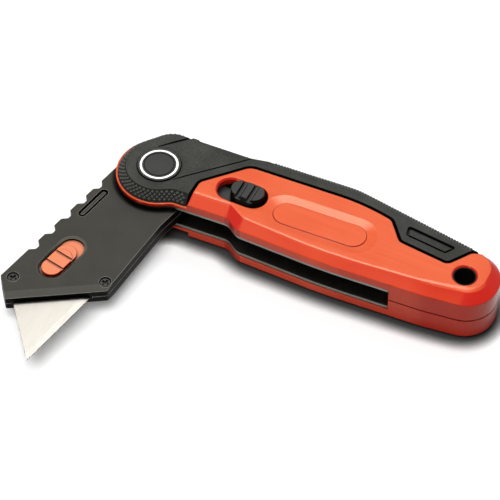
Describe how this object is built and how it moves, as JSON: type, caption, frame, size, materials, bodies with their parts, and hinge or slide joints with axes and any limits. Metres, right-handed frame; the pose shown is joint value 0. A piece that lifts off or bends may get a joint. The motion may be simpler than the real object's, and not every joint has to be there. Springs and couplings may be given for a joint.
{
  "type": "utility knife",
  "caption": "Folding utility knife with a swinging trapezoid-blade head, orange metal handle with a black rubber grip, a thumb lock slider and a blade release button.",
  "frame": {"origin": "on the back face that the knife lies on, under the pivot axis", "axes": "+Z from the back face to the front face, +X from the pivot to the lanyard hole, +Y to the spine"},
  "size_m": [0.1273, 0.0897, 0.0185],
  "materials": {
    "orange_aluminium": "satin orange",
    "black_rubber": "moulded matte",
    "satin_steel": "satin",
    "black_nylon": "moulded matte",
    "bright_ring": "polished",
    "washer_brass": "plain",
    "slider_black": "moulded matte",
    "black_oxide": "black oxide",
    "black_aluminium": "matte black coating",
    "blade_steel": "ground",
    "orange_button": "moulded satin"
  },
  "bodies": {
    "handle": {"front_shell": "orange_aluminium", "back_shell": "orange_aluminium", "front_grip": "black_rubber", "back_grip": "black_rubber", "front_liner": "satin_steel", "back_liner": "satin_steel", "spine_spacer": "black_nylon", "lanyard_bush": "black_nylon", "pivot_barrel": "satin_steel", "pivot_screw": "satin_steel", "front_cap": "black_nylon", "back_cap": "black_nylon", "front_cap_ring": "bright_ring", "back_cap_ring": "bright_ring", "pivot_washers": "washer_brass", "stop_pin": "satin_steel", "lock_plate": "black_oxide", "lock_spring": "satin_steel", "handle_screws": "black_oxide"},
    "head": {"head_front_shell": "black_aluminium", "head_back_shell": "black_aluminium", "blade": "blade_steel", "release_spring": "satin_steel", "nose_screws": "black_oxide"},
    "slider": {"lock_slider": "slider_black"},
    "button": {"release_button": "orange_button"},
    "catch": {"blade_catch": "satin_steel"}
  },
  "joints": [
    {"name": "head_fold", "type": "hinge", "parent": "handle", "child": "head", "pos_m": [0, 0, 0.00825], "axis": [0, 0, 1], "range_deg": [-79, 98]},
    {"name": "lock_slide", "type": "slide", "parent": "handle", "child": "slider", "axis": [-1, 0, 0], "range_m": [0, 0.004]},
    {"name": "release_slide", "type": "slide", "parent": "head", "child": "button", "axis": [0.1908, 0.9816, 0], "range_m": [0, 0.0026], "deforming": ["release_spring"]},
    {"name": "catch_lift", "type": "slide", "parent": "head", "child": "catch", "axis": [0, 0, 1], "range_m": [0, 0.00075]}
  ],
  "couplings": [
    {"joint": "catch_lift", "follows": "release_slide", "ratio": 0.28846}
  ]
}
